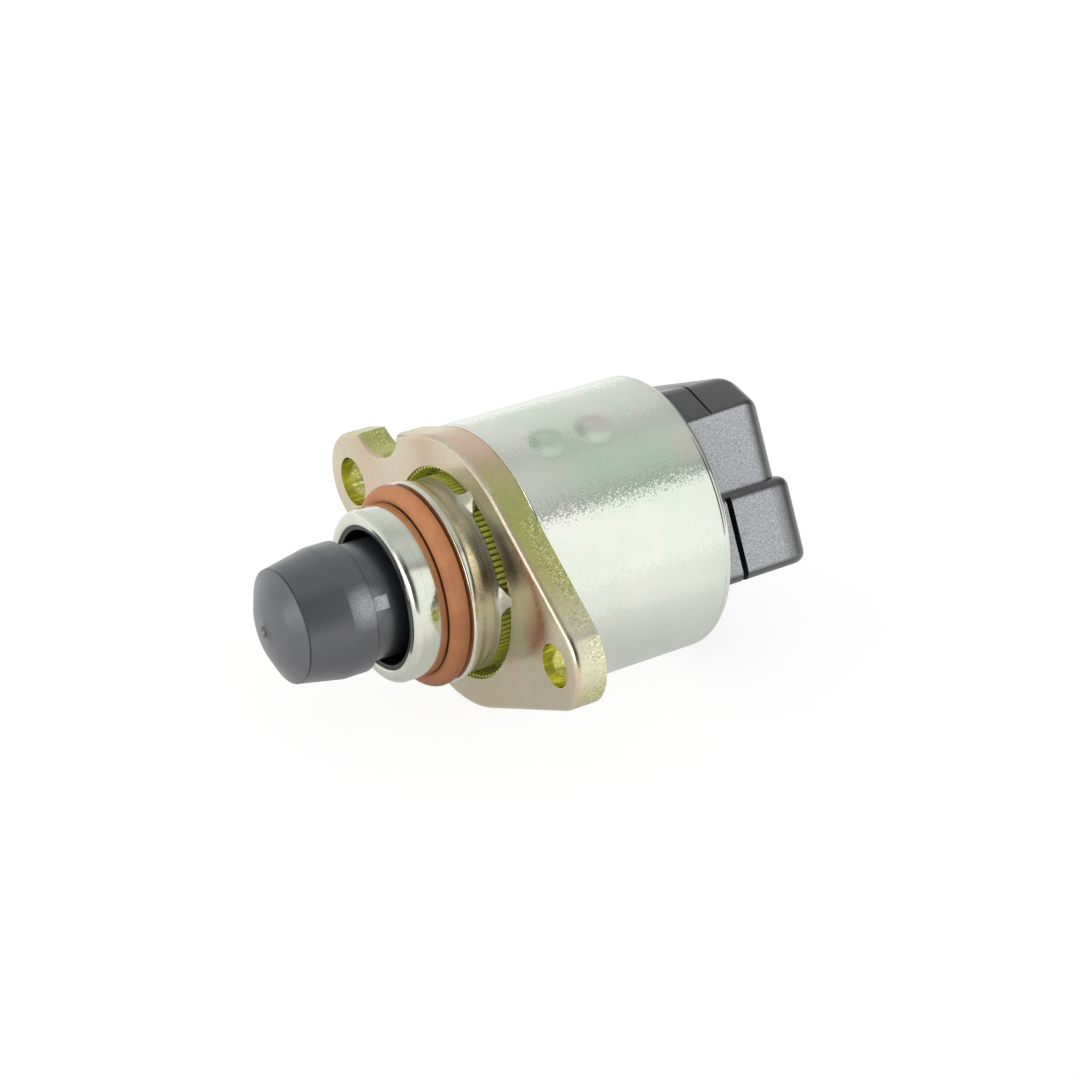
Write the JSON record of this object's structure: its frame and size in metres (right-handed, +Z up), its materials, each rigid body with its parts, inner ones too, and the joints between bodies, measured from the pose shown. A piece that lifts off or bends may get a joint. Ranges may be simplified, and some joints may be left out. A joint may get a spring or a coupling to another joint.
{
  "type": "idle air control motor",
  "caption": "Small stepper motor in a drawn can that extends a domed pintle through a sealed nose tube; oval bolt flange and right-angle plug.",
  "frame": {"origin": "centre of the flange's mounting face, on the motor's axis", "axes": "+X along the motor's axis, out through the nose and pintle; +Y towards the ear with the small bolt hole; +Z up"},
  "size_m": [0.0671, 0.0586, 0.035],
  "materials": {
    "zinc_steel": "yellow-passivated zinc plate, satin",
    "can_steel": "satin zinc plate",
    "nose_metal": "bright turned",
    "o_ring": "satin orange-brown",
    "pintle_plastic": "satin moulded",
    "sleeve_plastic": "matte moulded",
    "connector_plastic": "glass-filled, matt",
    "bearing_steel": "ground",
    "spring_steel": "plain",
    "stator_steel": "plated",
    "magnet": "dark sintered ferrite",
    "bobbin_plastic": "natural moulded",
    "copper_wire": "enamelled windings",
    "bronze": "sintered",
    "brass_nut": "machined",
    "tinned_brass": "tinned",
    "seal_rubber": "matte"
  },
  "bodies": {
    "housing": {"mounting_flange": "zinc_steel", "nose_tube": "nose_metal", "mounting_o_ring": "o_ring", "can_housing": "can_steel", "guide_sleeve": "sleeve_plastic", "bearing_outer_race": "bearing_steel", "wave_washer": "spring_steel", "cup_front_outer": "stator_steel", "cup_front_inner": "stator_steel", "cup_rear_inner": "stator_steel", "cup_rear_outer": "stator_steel", "bobbin_front": "bobbin_plastic", "bobbin_rear": "bobbin_plastic", "coil_front": "copper_wire", "coil_rear": "copper_wire", "rear_bush": "bronze", "cover_seal": "seal_rubber", "terminal_pin_1": "tinned_brass", "terminal_pin_2": "tinned_brass", "terminal_pin_3": "tinned_brass", "terminal_pin_4": "tinned_brass", "connector_body": "connector_plastic"},
    "rotor": {"rotor_hub": "connector_plastic", "rotor_magnet": "magnet", "drive_nut": "brass_nut", "bearing_inner_race": "bearing_steel", "ball_cage": "bearing_steel"},
    "plunger": {"pintle": "pintle_plastic", "lead_screw": "spring_steel"}
  },
  "joints": [
    {"name": "rotor_spin", "type": "hinge", "parent": "housing", "child": "rotor", "pos_m": [0, 0, 0], "axis": [1, 0, 0], "range_deg": [-2880, 540]},
    {"name": "pintle_slide", "type": "slide", "parent": "housing", "child": "plunger", "axis": [1, 0, 0], "range_m": [-0.008, 0.0015]}
  ],
  "couplings": [
    {"joint": "pintle_slide", "follows": "rotor_spin", "m_per_rad": 0.00015915}
  ]
}
